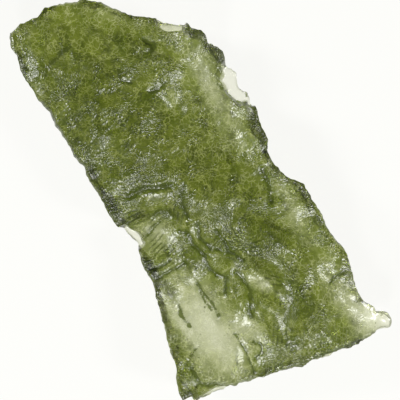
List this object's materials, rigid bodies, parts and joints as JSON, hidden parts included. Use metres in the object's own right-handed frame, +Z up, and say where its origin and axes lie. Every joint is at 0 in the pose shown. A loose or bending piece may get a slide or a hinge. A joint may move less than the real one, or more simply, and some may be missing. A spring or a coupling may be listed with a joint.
{
  "type": "moldavite",
  "caption": "Flat flake of see-through green natural glass, etched with shallow cups and creases, rounded at one end and broken square at the other, resting on its broad face.",
  "frame": {"origin": "on the surface that the stone rests on, under the middle of its box", "axes": "+X along the length towards the broad broken end, +Y across it towards the edge with the deep notch, +Z up through the thickness"},
  "size_m": [0.0418, 0.0208, 0.0067],
  "materials": {
    "green_glass": "Clear olive green natural glass, glossy on the ridges and satin in the etched cups"
  },
  "bodies": {
    "root": {"moldavite": "green_glass"}
  },
  "joints": []
}
